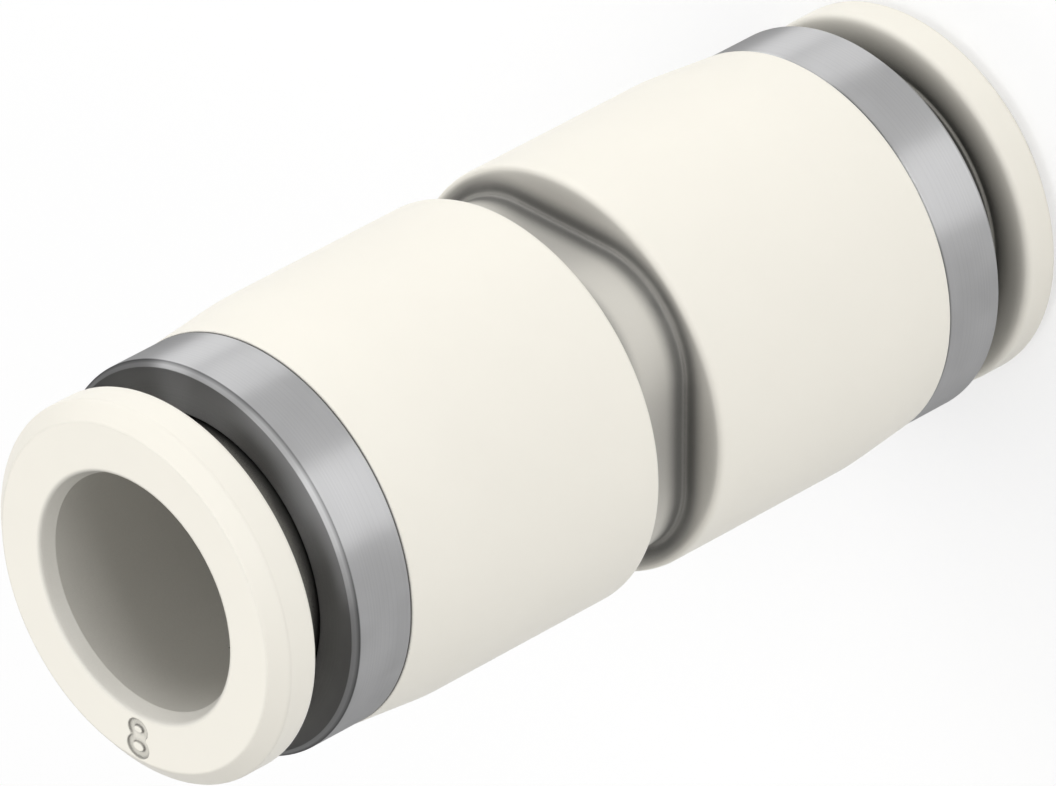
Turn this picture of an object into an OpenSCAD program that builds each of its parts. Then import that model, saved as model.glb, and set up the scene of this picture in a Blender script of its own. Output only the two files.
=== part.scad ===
// Straight push-in fitting for joining two plastic tubes of the same size.
// It stands on its rear release ring: the axis is Z and the floor is at z = 0.
// Every length along the axis is built from the middle plane outwards, so both
// ends come from the same profiles.

/* [Tube and overall] */

// outside diameter of the tube that is pushed in
tube_d = 8.0; // [6:0.1:10]
// piece to draw

/* [Body] */

// largest diameter of the moulded body
body_d = 14.2; // [13:0.1:18]
// length of the moulded body between its two end faces
body_len = 24.6; // [22:0.1:32]
// length of the straight middle of the body, up to where it starts to taper
straight_len = 19.0; // [14:0.1:20]
// drop of the radius over each taper
taper_drop = 0.27; // [0.05:0.01:0.5]
// diametral clearance of the tube sockets over the tube
socket_clearance = 0.1; // [0.05:0.01:0.2]
// length of the close tube socket beyond the seal
socket_len = 4.6; // [3:0.1:6]
// thickness of the wall between the two tube stops
web_t = 2.0; // [1:0.1:3]
// diameter of the flow bore through that wall
flow_d = 6.0; // [4:0.1:7]
// width of the lead-in cone at the mouth of each socket
lead_in = 0.4; // [0.1:0.05:0.6]

/* [Waist groove] */

// width of the groove between its two walls
groove_w = 2.72; // [1.5:0.02:3.5]
// depth of the groove at the flats of its rounded square floor
waist_depth = 1.65; // [0.8:0.05:2]
// corner radius of that rounded square
waist_corner_r = 3.46; // [2:0.02:4.5]
// radius in the corner between floor and wall
waist_fillet_r = 0.22; // [0.05:0.01:0.4]
// rounding of the groove's outer edges
groove_edge_r = 0.2; // [0.05:0.01:0.4]

/* [Metal caps] */

// step from the body's end down to the visible metal band
cap_set_in = 0.02; // [0:0.01:0.1]
// length of the visible metal band
cap_band = 2.45; // [2:0.05:3.5]
// chamfer on the band's outer edge
cap_chamfer = 0.2; // [0.05:0.01:0.4]
// thickness of the lip that guides the release ring
cap_lip_t = 0.85; // [0.5:0.05:1.2]
// wall of the skirt that is pressed into the body
skirt_wall = 0.5; // [0.3:0.02:0.6]

/* [Release rings] */

// diametral clearance of the ring's bore over the tube
bore_clearance = 0.2; // [0.1:0.02:0.3]
// wall of the ring's sleeve
sleeve_wall = 0.95; // [0.6:0.05:1]
// step from the metal band down to the flange that is pressed by hand
flange_set_in = 0.21; // [0.05:0.01:0.5]
// thickness of the flange
flange_t = 1.7; // [1:0.05:2.5]
// radial width of the cone around the flange's outer face
flange_cone_w = 0.57; // [0.2:0.01:0.8]
// height of that cone
flange_cone_h = 0.49; // [0.2:0.01:0.8]
// rounding of the flange's inner edge
flange_back_r = 0.2; // [0.05:0.01:0.4]
// gap between flange and cap, which is the travel of the ring
release_gap = 1.45; // [1:0.05:1.8]
// radial width of the bore's lead-in cone
mouth_cone_w = 0.23; // [0.05:0.01:0.4]
// depth of the bore's lead-in cone
mouth_cone_h = 0.51; // [0.2:0.01:0.8]
// rounding between that cone and the flange's face
mouth_edge_r = 0.15; // [0.05:0.01:0.3]
// radial running clearance between sleeve and cap lip
running_gap = 0.1; // [0.04:0.01:0.1]
// height of the snap rib that holds the ring in the cap
rib_h = 0.35; // [0.2:0.01:0.4]
// length of the snap rib's full height
rib_len = 0.8; // [0.4:0.05:1]
// length of the snap rib's lead-in cone
rib_cone_len = 0.5; // [0.2:0.05:0.8]
// radial clearance around the snap rib
rib_gap = 0.15; // [0.1:0.01:0.2]
// radial thickness of the nose that opens the claw
nose_t = 0.2; // [0.1:0.01:0.4]
// length of the nose cone
nose_len = 1.05; // [0.6:0.05:1.4]
// free distance along the axis between nose and claw
nose_gap = 0.24; // [0.15:0.01:0.4]
// number of slots that make the snap rib springy
sleeve_slots = 3; // [3:1:6]
// width of each slot
sleeve_slot_w = 0.8; // [0.4:0.05:1]

/* [Claw rings] */

// thickness of the claw's spring steel
claw_t = 0.2; // [0.1:0.01:0.25]
// width of the flat rim that is clamped
claw_rim_w = 0.7; // [0.5:0.05:0.8]
// radial bite of the claw's tips into the tube
claw_bite = 0.12; // [0.05:0.01:0.15]
// distance along the axis from the rim to the tips
claw_drop = 1.7; // [1:0.05:1.9]
// number of tongues
claw_tongues = 10; // [6:1:16]
// width of the slots between the tongues
claw_slot_w = 0.5; // [0.2:0.05:0.8]
// diameter of the relief hole at the root of each slot
claw_relief_d = 0.7; // [0.3:0.05:0.8]

/* [Support rings and seals] */

// length of the support ring between seal and claw
support_len = 2.8; // [2.6:0.1:3.2]
// thickness of the support ring's floor next to the seal
support_floor = 0.55; // [0.4:0.05:0.7]
// radial clearance of the support ring over the tube
support_gap = 0.15; // [0.1:0.01:0.3]
// rim of the support ring that carries the claw
support_rim_w = 0.6; // [0.4:0.02:0.7]
// length of the room for the seal
seal_room = 2.2; // [1.8:0.1:2.6]
// step in the body that holds the support ring off the seal
seal_step = 0.55; // [0.3:0.05:0.6]
// radial squeeze of the seal's lip on the tube
seal_squeeze = 0.14; // [0.05:0.01:0.15]
// free length of the seal in its room
seal_play = 0.1; // [0.05:0.01:0.2]

/* [Hidden] */

// surplus for cuts that run out of a solid
over = 0.5;

// distances from the middle plane
stop_u = web_t / 2;
socket_u = stop_u + socket_len;
seal_u = socket_u + seal_room;
claw_u = seal_u + support_len;
skirt_u = claw_u + claw_t;
body_u = body_len / 2;
straight_u = straight_len / 2;
cap_u = body_u + cap_band;
lip_u = cap_u - cap_lip_t;
flange_u = cap_u + release_gap;
half_len = flange_u + flange_t;

// radii
tube_r = tube_d / 2;
socket_r = tube_r + socket_clearance / 2;
bore_r = tube_r + bore_clearance / 2;
sleeve_r = bore_r + sleeve_wall;
hole_r = sleeve_r + running_gap;
rib_r = sleeve_r + rib_h;
chamber_r = rib_r + rib_gap;
skirt_r = chamber_r + skirt_wall;
seal_r = skirt_r - seal_step;
body_r = body_d / 2;
body_end_r = body_r - taper_drop;
cap_r = body_end_r - cap_set_in;
flange_r = cap_r - flange_set_in;
waist_flats = body_d - 2 * waist_depth;

// claw: slope of the tongues and their thickness along the axis
claw_out_r = skirt_r;
claw_root_r = claw_out_r - claw_rim_w;
claw_tip_r = tube_r - claw_bite;
claw_slope = claw_drop / (claw_root_r - claw_tip_r);
claw_axial_t = claw_t * sqrt(1 + claw_slope * claw_slope);
claw_bend_r = claw_root_r - (claw_axial_t - claw_t) / claw_slope;

// nose of the release ring, set off the tongue where the nose is widest at its tip
nose_r = bore_r + nose_t;
nose_u = claw_u + claw_axial_t - claw_slope * (claw_root_r - nose_r) + nose_gap;

// material outside a quarter circle, taken off a corner at [x, y] that points to [sx, sy]
module corner_off(x, y, sx, sy, r) {
    translate([x - sx * r, y - sy * r])
        difference() {
            translate([min(0, sx * 1.5 * r), min(0, sy * 1.5 * r)])
                square(1.5 * r);
            circle(r);
        }
}

// end pieces are drawn from the middle plane upwards and then placed
module at_front() {
    translate([0, 0, half_len])
        children();
}

module at_rear() {
    translate([0, 0, half_len])
        rotate([180, 0, 0])
            children();
}

// outline of one half of the body, from the groove wall to the end face
module body_half_outline() {
    difference() {
        polygon([
            [tube_r, groove_w / 2],
            [body_r, groove_w / 2],
            [body_r, straight_u],
            [body_end_r, body_u],
            [tube_r, body_u]
        ]);
        corner_off(body_r, groove_w / 2, 1, -1, groove_edge_r);
    }
}

// everything that is hollow in one half of the body
module body_half_bore() {
    polygon([
        [0, -over],
        [flow_d / 2, -over],
        [flow_d / 2, stop_u],
        [socket_r, stop_u],
        [socket_r, socket_u - lead_in],
        [socket_r + lead_in, socket_u],
        [seal_r, socket_u],
        [seal_r, seal_u],
        [skirt_r, seal_u],
        [skirt_r, body_u + over],
        [0, body_u + over]
    ]);
}

// rounded square seen along the axis
module waist_outline() {
    flat = waist_flats - 2 * waist_corner_r;
    square([waist_flats, flat], center = true);
    square([flat, waist_flats], center = true);
    for (a = [0 : 90 : 270])
        rotate(a)
            translate([flat / 2, flat / 2])
                circle(waist_corner_r);
}

// section of the fillet between floor and wall, set a little into both
module fillet_section() {
    difference() {
        translate([-over, -over])
            square([waist_fillet_r + over, waist_fillet_r + over]);
        translate([waist_fillet_r, waist_fillet_r])
            circle(waist_fillet_r);
    }
}

// fillet that runs round the rounded square at one wall
module waist_fillet() {
    flat = waist_flats - 2 * waist_corner_r;
    for (a = [0 : 90 : 270])
        rotate(a) {
            translate([waist_flats / 2, flat / 2, 0])
                rotate([90, 0, 0])
                    linear_extrude(height = flat)
                        fillet_section();
            translate([flat / 2, flat / 2, 0])
                rotate_extrude(angle = 90)
                    translate([waist_corner_r, 0])
                        fillet_section();
        }
}

module body() {
    color([0.97, 0.96, 0.92])
        translate([0, 0, half_len])
            difference() {
                union() {
                    linear_extrude(height = groove_w + 2 * over, center = true)
                        waist_outline();
                    for (turn = [0, 180])
                        rotate([turn, 0, 0]) {
                            rotate_extrude()
                                body_half_outline();
                            translate([0, 0, groove_w / 2])
                                rotate([180, 0, 0])
                                    waist_fillet();
                        }
                }
                for (turn = [0, 180])
                    rotate([turn, 0, 0])
                        rotate_extrude()
                            body_half_bore();
            }
}

// metal cap: band outside, lip at the mouth, skirt pressed into the body
module cap() {
    rotate_extrude()
        polygon([
            [chamber_r, skirt_u],
            [skirt_r, skirt_u],
            [skirt_r, body_u],
            [cap_r, body_u],
            [cap_r, cap_u - cap_chamfer],
            [cap_r - cap_chamfer, cap_u],
            [hole_r, cap_u],
            [hole_r, lip_u],
            [chamber_r, lip_u]
        ]);
}

module front_cap() {
    color([0.75, 0.76, 0.78])
        at_front()
            cap();
}

module rear_cap() {
    color([0.75, 0.76, 0.78])
        at_rear()
            cap();
}

// section of the release ring: nose, snap rib, sleeve, flange and mouth
module release_ring_section() {
    difference() {
        polygon([
            [bore_r, nose_u],
            [nose_r, nose_u],
            [sleeve_r, nose_u + nose_len],
            [sleeve_r, lip_u - rib_len - rib_cone_len],
            [rib_r, lip_u - rib_len],
            [rib_r, lip_u],
            [sleeve_r, lip_u],
            [sleeve_r, flange_u],
            [flange_r, flange_u],
            [flange_r, half_len - flange_cone_h],
            [flange_r - flange_cone_w, half_len],
            [bore_r + mouth_cone_w, half_len],
            [bore_r, half_len - mouth_cone_h]
        ]);
        corner_off(flange_r, flange_u, 1, -1, flange_back_r);
        corner_off(bore_r + mouth_cone_w, half_len, -1, 1, mouth_edge_r);
    }
}

module release_ring() {
    difference() {
        rotate_extrude()
            release_ring_section();
        for (i = [0 : sleeve_slots - 1])
            rotate(i * 360 / sleeve_slots - 90)
                translate([0, -sleeve_slot_w / 2, nose_u - over])
                    cube([rib_r + over, sleeve_slot_w, lip_u - nose_u]);
    }
}

module front_release_ring() {
    color([0.96, 0.95, 0.9])
        at_front()
            release_ring();
}

module rear_release_ring() {
    color([0.96, 0.95, 0.9])
        at_rear()
            release_ring();
}

// claw ring: a flat rim and tongues bent inwards and towards the tube stop
module claw() {
    slot_end_r = claw_bend_r - claw_relief_d / 2;
    difference() {
        rotate_extrude()
            polygon([
                [claw_out_r, claw_u],
                [claw_out_r, skirt_u],
                [claw_bend_r, skirt_u],
                [claw_tip_r + claw_t / 2, skirt_u - claw_slope * (claw_bend_r - claw_tip_r - claw_t / 2)],
                [claw_tip_r, claw_u - claw_drop],
                [claw_root_r, claw_u]
            ]);
        for (i = [0 : claw_tongues - 1])
            rotate(i * 360 / claw_tongues) {
                translate([0, -claw_slot_w / 2, claw_u - claw_drop - over])
                    cube([slot_end_r, claw_slot_w, claw_drop + claw_t + 2 * over]);
                translate([slot_end_r, 0, claw_u - claw_drop - over])
                    cylinder(h = claw_drop + claw_t + 2 * over, d = claw_relief_d);
            }
    }
}

module front_claw() {
    color([0.62, 0.64, 0.68])
        at_front()
            claw();
}

module rear_claw() {
    color([0.62, 0.64, 0.68])
        at_rear()
            claw();
}

// support ring: carries the claw's rim and leaves room for its tongues to open
module support_ring() {
    floor_u = seal_u + support_floor;
    guide_r = tube_r + support_gap;
    rotate_extrude()
        polygon([
            [guide_r, seal_u],
            [skirt_r, seal_u],
            [skirt_r, claw_u],
            [skirt_r - support_rim_w, claw_u],
            [skirt_r - support_rim_w - 0.1, floor_u + support_floor],
            [guide_r + 0.35, floor_u],
            [guide_r, floor_u]
        ]);
}

module front_support_ring() {
    color([0.85, 0.85, 0.83])
        at_front()
            support_ring();
}

module rear_support_ring() {
    color([0.85, 0.85, 0.83])
        at_rear()
            support_ring();
}

// sealing ring: a solid outer band with a lip that leans towards the tube stop
module seal() {
    low_u = socket_u + seal_play / 2;
    high_u = seal_u - seal_play / 2;
    lip_r = tube_r - seal_squeeze;
    mid_u = (low_u + high_u) / 2;
    rotate_extrude()
        polygon([
            [seal_r, low_u],
            [seal_r, high_u],
            [socket_r + 0.2, high_u],
            [socket_r + 0.1, mid_u + 0.4],
            [lip_r, mid_u - 0.5],
            [lip_r + 0.1, mid_u - 0.8],
            [socket_r + 0.5, mid_u - 0.2],
            [seal_r - 0.35, mid_u - 0.3],
            [seal_r - 0.2, low_u]
        ]);
}

module front_seal() {
    color([0.12, 0.12, 0.13])
        at_front()
            seal();
}

module rear_seal() {
    color([0.12, 0.12, 0.13])
        at_rear()
            seal();
}

body();
front_cap();
rear_cap();
front_release_ring();
rear_release_ring();
front_claw();
rear_claw();
front_support_ring();
rear_support_ring();
front_seal();
rear_seal();
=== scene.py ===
import math

import bpy
import numpy as np
from bpy.props import FloatProperty, FloatVectorProperty, IntProperty, PointerProperty
from mathutils import Matrix, Vector


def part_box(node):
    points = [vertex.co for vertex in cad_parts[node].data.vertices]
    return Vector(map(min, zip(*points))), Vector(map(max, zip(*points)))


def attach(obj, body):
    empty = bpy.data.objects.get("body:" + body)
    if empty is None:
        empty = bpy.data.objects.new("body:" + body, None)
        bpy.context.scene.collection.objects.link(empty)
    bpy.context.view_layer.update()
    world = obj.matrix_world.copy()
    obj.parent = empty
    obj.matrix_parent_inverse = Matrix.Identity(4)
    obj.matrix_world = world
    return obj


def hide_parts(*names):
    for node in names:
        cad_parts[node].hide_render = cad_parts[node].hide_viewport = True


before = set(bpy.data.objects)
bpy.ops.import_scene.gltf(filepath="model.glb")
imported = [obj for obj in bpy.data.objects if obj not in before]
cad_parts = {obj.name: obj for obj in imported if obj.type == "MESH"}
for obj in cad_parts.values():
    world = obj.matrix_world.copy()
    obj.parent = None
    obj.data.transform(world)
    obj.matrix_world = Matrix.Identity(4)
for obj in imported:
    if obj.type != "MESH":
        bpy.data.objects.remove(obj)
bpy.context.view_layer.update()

# Straight push-in fitting for two plastic tubes, dressed over its packed solids.
#
# The fitting stands on its rear release ring at z = 0 and its axis is Z. Both ends share the
# same outlines. An outline is drawn as (r, u): r is the distance from the axis and u the
# distance from the middle plane. The rear end is the front end turned half a turn about X.
# All lengths are in metres.

bl_info = {
    "name": "Straight push-in fitting",
    "version": (1, 0, 0),
    "blender": (4, 5, 0),
    "location": "3D View > Sidebar > Fitting",
    "description": "Models and dresses a straight push-in fitting over its solids",
    "category": "Object",
}

MM = 0.001
ENDS = ("front", "rear")

# what the frame says about the fitting
BODY_LOW, BODY_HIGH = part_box("body")
CAP_LOW, CAP_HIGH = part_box("front_cap")
RING_LOW, RING_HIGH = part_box("front_release_ring")
CLAW_LOW, CLAW_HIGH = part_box("front_claw")
MIDDLE = (BODY_LOW[2] + BODY_HIGH[2]) / 2
BODY_FRAME = "fitting"
RING_FRAME = {"front": "front_ring", "rear": "rear_ring"}

# edges sharper than this are not smoothed over
SHARP_ANGLE = math.radians(40)
# steps in a full turn of the outer and of the inner pieces
OUTER_COLUMNS, INNER_COLUMNS = 360, 180
# places nearer than this are one place
NEAR = 1e-9


# Sizes and colours

def metres(name, description, default):
    """A length, in metres."""
    return FloatProperty(name=name, description=description, default=default, precision=5,
                         unit='LENGTH')


def level(name, what, default):
    """A distance from the middle plane to what is named, in metres."""
    return metres(name, "Distance from the middle plane to " + what, default)


def angle(name, description, degrees):
    """An angle, kept in radians."""
    return FloatProperty(name=name, description=description, default=math.radians(degrees),
                         subtype='ANGLE')


def spot(name, description, default):
    """Two lengths in the plane of a face, in metres: along X and along Y."""
    return FloatVectorProperty(name=name, description=description, default=default, size=2,
                               precision=5, unit='LENGTH')


def tint(name, description, default):
    """A colour, as linear shares of red, green and blue."""
    return FloatVectorProperty(name=name, description=description, default=default, size=3,
                               min=0.0, max=1.0, subtype='COLOR')


class BodySizes(bpy.types.PropertyGroup):
    """Outside of the moulded body and the hollow that its inner pieces sit in."""
    radius: metres("Radius", "Largest radius of the moulded body", BODY_HIGH[0])
    end_u: level("End", "an end face", BODY_HIGH[2] - MIDDLE)
    taper_u: level("Start of taper", "where the taper starts", 9.5 * MM)
    taper_arc: metres("Taper arc", "Radius of the arc that the taper starts with", 8.0 * MM)
    taper_drop: metres("Taper drop", "Loss of radius over the taper", 0.27 * MM)
    end_edge: metres("End edge", "Rounding of the outer edges of the end faces", 0.09 * MM)
    groove_u: level("Groove half width", "a groove wall", 1.36 * MM)
    groove_edge: metres("Groove edge", "Rounding of the outer edges of the groove", 0.25 * MM)
    waist_half: metres("Waist half width", "Distance from the axis to a flat of the waist", 5.45 * MM)
    waist_corner: metres("Waist corner", "Corner radius of the waist's rounded square", 3.46 * MM)
    waist_fillet: metres("Waist fillet", "Radius between the groove's floor and its walls", 0.22 * MM)
    seat_r: metres("Seat radius", "Radius of the seat for support ring, claw and cap", 6.05 * MM)
    seal_r: metres("Seal room radius", "Radius of the room for the seal", 5.5 * MM)
    seal_u: level("Seal room end", "the end of the seal room", 7.8 * MM)
    socket_u: level("Socket end", "the end of the tube socket", 5.6 * MM)
    socket_r: metres("Socket radius", "Radius of the socket that the tube ends in", 4.05 * MM)
    lead_in: metres("Lead-in", "Width and length of the cone at the socket's mouth", 0.4 * MM)
    stop_u: level("Tube stop", "a tube stop", 1.0 * MM)
    flow_r: metres("Flow bore radius", "Radius of the bore between the two tube stops", 3.0 * MM)


class CapSizes(bpy.types.PropertyGroup):
    """Turned metal cap with its skirt in the body and its lip at the mouth."""
    band_r: metres("Band radius", "Radius of the visible metal band", CAP_HIGH[0])
    end_u: level("End", "the cap's face", CAP_HIGH[2] - MIDDLE)
    skirt_u: level("Skirt start", "the skirt's inner end", CAP_LOW[2] - MIDDLE)
    chamfer: metres("Chamfer", "Chamfer on the band's outer edge", 0.2 * MM)
    chamber_r: metres("Chamber radius", "Radius of the chamber around the snap rib", 5.55 * MM)
    hole_r: metres("Hole radius", "Radius of the hole that guides the release ring", 5.15 * MM)
    lip_t: metres("Lip thickness", "Thickness of the lip at the cap's mouth", 0.85 * MM)
    tone_edge: metres("Tone edge", "Half width over which the chamfer's darker tone begins", 0.015 * MM)


class RingSizes(bpy.types.PropertyGroup):
    """Release ring: flange, slotted sleeve with snap rib, and nose."""
    flange_r: metres("Flange radius", "Radius of the flange that is pressed by hand", RING_HIGH[0])
    face_u: level("Face", "the flange's outer face", RING_HIGH[2] - MIDDLE)
    nose_u: level("Nose", "the tip of the nose", RING_LOW[2] - MIDDLE)
    flange_t: metres("Flange thickness", "Thickness of the flange", 1.7 * MM)
    back_edge: metres("Back edge", "Rounding of the flange's inner edge", 0.25 * MM)
    cone_w: metres("Cone width", "Radial width of the cone around the face", 0.57 * MM)
    cone_h: metres("Cone height", "Height of the cone around the face", 0.49 * MM)
    bore_r: metres("Bore radius", "Radius of the bore that the tube passes through", 4.1 * MM)
    mouth_w: metres("Mouth width", "Radial width of the bore's lead-in cone", 0.23 * MM)
    mouth_h: metres("Mouth depth", "Depth of the bore's lead-in cone", 0.51 * MM)
    mouth_edge: metres("Mouth edge", "Rounding between the face and the lead-in cone", 0.16 * MM)
    sleeve_r: metres("Sleeve radius", "Outer radius of the sleeve", 5.05 * MM)
    nose_t: metres("Nose thickness", "Thickness of the nose at its tip", 0.2 * MM)
    nose_len: metres("Nose length", "Length of the nose cone", 1.05 * MM)
    rib_r: metres("Rib radius", "Radius of the snap rib", 5.4 * MM)
    rib_u: level("Rib end", "the rib's outer end", 13.9 * MM)
    rib_len: metres("Rib length", "Length of the rib's full height", 0.8 * MM)
    rib_cone: metres("Rib cone", "Length of the rib's lead-in cone", 0.5 * MM)
    slot_u: level("Slot end", "the slots' closed ends", 13.4 * MM)
    slot_w: metres("Slot width", "Width of a slot in the sleeve", 0.8 * MM)
    slots: IntProperty(
        name="Slots", description="Number of slots that make the snap rib springy",
        default=3, min=1, max=12)
    tone_edge: metres(
        "Tone edge", "Width over which the tone of the bore and the cone begins", 0.08 * MM)
    edge: metres("Small edges", "Rounding of the moulding's other edges", 0.06 * MM)
    cone_edge: metres("Cone edges", "Rounding of the two edges of the cone around the face", 0.14 * MM)


class NumberSizes(bpy.types.PropertyGroup):
    """Engraved 8 on a release ring's face, which is the tube's diameter in millimetres."""
    depth: metres("Depth", "Depth of the engraving", 0.085 * MM)
    stroke: metres("Stroke", "Width of the engraved line", 0.24 * MM)
    soft: metres("Soft edge", "Width over which the line's wall goes down", 0.07 * MM)
    notch: metres("Notch", "Width over which the notches between the loops are filled", 0.14 * MM)
    upper_at: spot("Upper loop", "Centre of the upper loop on the face", (0.10 * MM, -4.885 * MM))
    upper_half: spot(
        "Upper half axes", "Half width and half height of the upper loop", (0.31 * MM, 0.245 * MM))
    lower_at: spot("Lower loop", "Centre of the lower loop on the face", (0.10 * MM, -5.535 * MM))
    lower_half: spot(
        "Lower half axes", "Half width and half height of the lower loop", (0.365 * MM, 0.285 * MM))


class ClawSizes(bpy.types.PropertyGroup):
    """Claw ring stamped from spring steel: flat rim, tongues, slots and relief holes."""
    outer_r: metres("Outer radius", "Outer radius of the flat rim", CLAW_HIGH[0])
    rim_u: level("Rim", "the rim's inner side", 10.6 * MM)
    steel_t: metres("Steel thickness", "Thickness of the spring steel at the rim", 0.2 * MM)
    lower_bend_r: metres("Lower bend", "Radius where the tongues' inner side starts to lean", 5.35 * MM)
    upper_bend_r: metres(
        "Upper bend", "Radius where the tongues' outer side starts to lean", 5.2585 * MM)
    tip_r: metres("Tip radius", "Radius of the tongues' sharp tips", 3.88 * MM)
    drop: metres("Drop", "Distance along the axis from the rim to the tips", 1.7 * MM)
    tongues: IntProperty(
        name="Tongues", description="Number of tongues",
        default=10, min=3, max=24)
    slot_w: metres("Slot width", "Width of the slots between the tongues", 0.5 * MM)
    relief_r: metres("Relief radius", "Radius of the relief hole at the root of a slot", 0.35 * MM)
    relief_at: metres(
        "Relief position", "Distance from the axis to the relief holes' centres", 4.9085 * MM)


class InnerRingSizes(bpy.types.PropertyGroup):
    """Support ring and seal between the body's step and the claw."""
    guide_r: metres("Guide radius", "Inner radius of the support ring around the tube", 4.15 * MM)
    floor_t: metres("Floor thickness", "Thickness of the support ring's floor", 0.55 * MM)
    rim_w: metres("Rim width", "Width of the support ring's rim that carries the claw", 0.6 * MM)
    lip_r: metres("Seal lip radius", "Inner radius of the seal's free lip", 3.86 * MM)
    seal_play: metres("Seal play", "Free length between the seal and each side of its room", 0.05 * MM)


class Finishes(bpy.types.PropertyGroup):
    """Colours of the fitting and of the stage it stands on."""
    cream: tint("Cream plastic", "Colour of the body and of the release rings", (0.930, 0.897, 0.808))
    # painted shade: the colour plastic is painted deep in grooves and bores, where shade falls
    recess_shade: tint(
        "Recessed plastic", "Colour of the plastic deep in grooves and bores", (0.38, 0.37, 0.35))
    # painted shade: the colour the release rings' bores are painted, where shade falls
    bore: tint("Release ring bore", "Colour of the release rings' bores", (0.66, 0.64, 0.585))
    # painted shade: the cones round the release rings' faces are painted a little darker than the faces
    cone: tint(
        "Release ring cone", "Colour of the cones round the release rings' faces", (0.835, 0.805, 0.725))
    # painted shade: the colour of plastic next to a close wall, in tight corners where shade falls
    corner: tint(
        "Plastic in tight corners", "Colour of the plastic next to a close wall", (0.185, 0.181, 0.17))
    # painted shade: the release ring's sleeve in its gap under the flange, painted near black
    gap: tint("Release ring in its gap", "Colour of the sleeve next to the cap", (0.03, 0.029, 0.027))
    nickel: tint("Nickel plating", "Colour of the turned metal caps", (0.61, 0.61, 0.615))
    # painted shade: the nickel where the flange covers it, and on the chamfer and face of the cap
    shaded: tint(
        "Shaded nickel", "Colour of the nickel where the flange covers it", (0.07, 0.07, 0.072))
    steel: tint("Spring steel", "Colour of the claw rings", (0.52, 0.51, 0.49))
    support: tint("Support plastic", "Colour of the support rings", (0.62, 0.62, 0.60))
    rubber: tint("Seal rubber", "Colour of the seals", (0.022, 0.022, 0.024))
    floor: tint("Floor", "Colour of the studio floor", (0.95, 0.95, 0.95))


class StudioSizes(bpy.types.PropertyGroup):
    """Camera, lamps and floor of the studio."""
    azimuth: angle("Camera azimuth", "Direction of the camera around the axis, from +X", 41.393099)
    elevation: angle("Camera elevation", "Height of the camera above the horizon", 36.965874)
    roll: angle("Camera roll", "Turn of the camera about its line of sight", 117.924625)
    distance: metres("Camera distance", "Distance from the camera to the point it aims at", 0.5043505)
    aim: FloatVectorProperty(
        name="Aim", description="Point that the camera aims at",
        default=(-0.0575 * MM, -0.1886 * MM, 18.1230 * MM), size=3, precision=6,
        subtype='XYZ', unit='LENGTH')
    lens: FloatProperty(
        name="Lens", description="Focal length of the camera in millimetres",
        default=533.693, subtype='DISTANCE_CAMERA')
    sky: FloatProperty(
        name="Sky", description="Brightness of the plain grey surroundings",
        default=0.26, min=0.0, max=2.0, subtype='FACTOR')
    lamp_level: FloatProperty(
        name="Lamp level", description="Factor on the brightness of all lamps",
        default=1.0, min=0.0, max=4.0, subtype='FACTOR')
    lamp_distance: metres("Lamp distance", "Distance from the fitting to each lamp", 0.9)
    floor_r: metres("Floor radius", "Radius of the round studio floor", 3.0)


# lamps: azimuth, elevation, half width and half height in degrees, and the share of light on
# a surface that faces the lamp, where 1 shows a white surface as white
LAMPS = {
    "Zenith_softbox": (85.0, 84.0, 25.0, 25.0, 0.81),
    "Front_strip": (36.0, 11.0, 22.0, 9.0, 0.272),
    "Side_strip": (120.0, 11.0, 13.0, 12.0, 0.16),
    "Back_strip": (148.0, 11.0, 11.0, 12.0, 0.165),
}


# Surfaces as whole arrays

def rounded(corners, steps=5):
    """Closed outline whose corners are arcs; a corner is given as (r, u, radius of its arc).

    At a corner with unit arms a and b and half angle h between them, the arc of radius R has
    its centre at corner + (a + b) / |a + b| * R / sin(h), and touches the arms at R / tan(h).
    Its points turn evenly from one touching point to the other. One more point on each arm
    keeps the flats between the arcs flat in shading.
    """
    corners = np.array(corners, float)
    corner, radius = corners[:, :2], corners[:, 2:]
    arm_a = np.roll(corner, 1, axis=0) - corner
    arm_b = np.roll(corner, -1, axis=0) - corner
    length_a = np.linalg.norm(arm_a, axis=1, keepdims=True)
    length_b = np.linalg.norm(arm_b, axis=1, keepdims=True)
    arm_a = arm_a / length_a
    arm_b = arm_b / length_b
    half = np.arccos(np.clip((arm_a * arm_b).sum(1, keepdims=True), -1, 1)) / 2
    touch = np.minimum(radius / np.tan(half), 0.45 * np.minimum(length_a, length_b))
    radius = touch * np.tan(half)
    start = corner + arm_a * touch
    end = corner + arm_b * touch
    middle = arm_a + arm_b
    middle = middle / np.linalg.norm(middle, axis=1, keepdims=True)
    centre = corner + middle * radius / np.sin(half)
    turn = (math.pi - 2 * half)[:, :, None]
    share = np.linspace(0, 1, steps + 1)[None, :, None]
    arc = (np.sin((1 - share) * turn) * (start - centre)[:, None]
           + np.sin(share * turn) * (end - centre)[:, None]) / np.sin(turn) + centre[:, None]
    free_b = length_b - touch - np.roll(touch, -1, axis=0)
    free_a = np.roll(free_b, 1, axis=0)
    step_a = np.minimum(0.4 * radius + 0.02 * MM, 0.3 * free_a)
    step_b = np.minimum(0.4 * radius + 0.02 * MM, 0.3 * free_b)
    before = (start + arm_a * step_a)[:, None]
    after = (end + arm_b * step_b)[:, None]
    return np.concatenate([before, arc, after], axis=1).reshape(-1, 2)


def cross_level(outline, level):
    """Adds a point wherever the closed outline crosses u = level, on the straight between."""
    after = np.roll(outline, -1, axis=0)
    cut = np.flatnonzero((outline[:, 1] - level) * (after[:, 1] - level) < 0)
    share = (level - outline[cut, 1]) / (after[cut, 1] - outline[cut, 1])
    r = outline[cut, 0] + share * (after[cut, 0] - outline[cut, 0])
    return np.insert(outline, cut + 1, np.stack([r, np.full(len(cut), level)], 1), axis=0)


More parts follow.
